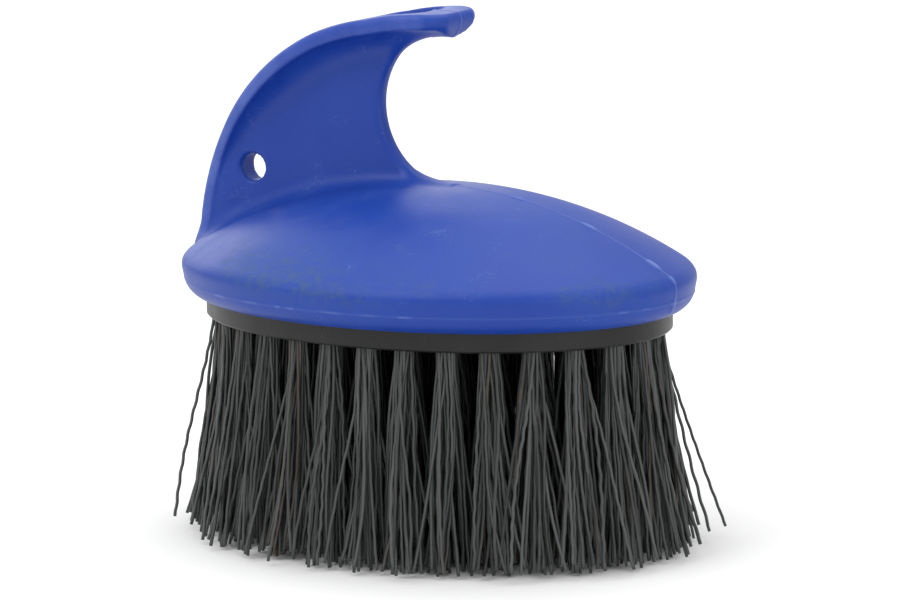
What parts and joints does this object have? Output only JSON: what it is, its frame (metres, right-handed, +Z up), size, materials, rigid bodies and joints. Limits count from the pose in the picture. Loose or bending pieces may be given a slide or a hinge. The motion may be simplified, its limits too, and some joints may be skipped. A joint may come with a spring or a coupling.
{
  "type": "grooming brush",
  "caption": "Oval hand brush for grooming horses: stiff crimped bristle tufts under a blue moulded handle whose fin curls over into a finger hook.",
  "frame": {"origin": "on the surface the bristle tips rest on, under the centre of the oval", "axes": "+Z up through the handle; +X along the oval to the nose that the hook points at; +Y across, normal to the mirror plane"},
  "size_m": [0.1494, 0.109, 0.1422],
  "materials": {
    "handle_blue": "satin moulded soft plastic",
    "block_black": "satin moulded",
    "bristle_dark": "crimped synthetic filament",
    "anchor_wire": "drawn wire",
    "screw_steel": "zinc plated"
  },
  "bodies": {
    "root": {"handle": "handle_blue", "bristle_block": "block_black", "block_screws": "screw_steel", "tuft_outer_01": "bristle_dark", "tuft_outer_02": "bristle_dark", "tuft_outer_03": "bristle_dark", "tuft_outer_04": "bristle_dark", "tuft_outer_05": "bristle_dark", "tuft_outer_06": "bristle_dark", "tuft_outer_07": "bristle_dark", "tuft_outer_08": "bristle_dark", "tuft_outer_09": "bristle_dark", "tuft_outer_10": "bristle_dark", "tuft_outer_11": "bristle_dark", "tuft_outer_12": "bristle_dark", "tuft_outer_13": "bristle_dark", "tuft_outer_14": "bristle_dark", "tuft_outer_15": "bristle_dark", "tuft_outer_16": "bristle_dark", "tuft_outer_17": "bristle_dark", "tuft_outer_18": "bristle_dark", "tuft_outer_19": "bristle_dark", "tuft_outer_20": "bristle_dark", "tuft_outer_21": "bristle_dark", "tuft_outer_22": "bristle_dark", "tuft_outer_23": "bristle_dark", "tuft_outer_24": "bristle_dark", "tuft_outer_25": "bristle_dark", "tuft_outer_26": "bristle_dark", "tuft_outer_27": "bristle_dark", "tuft_outer_28": "bristle_dark", "tuft_outer_29": "bristle_dark", "tuft_outer_30": "bristle_dark", "tufts_second_ring": "bristle_dark", "tufts_third_ring": "bristle_dark", "tufts_fourth_ring": "bristle_dark", "tufts_fifth_ring": "bristle_dark", "anchors_outer_ring": "anchor_wire", "anchors_second_ring": "anchor_wire", "anchors_third_ring": "anchor_wire", "anchors_fourth_ring": "anchor_wire", "anchors_fifth_ring": "anchor_wire"}
  },
  "joints": []
}
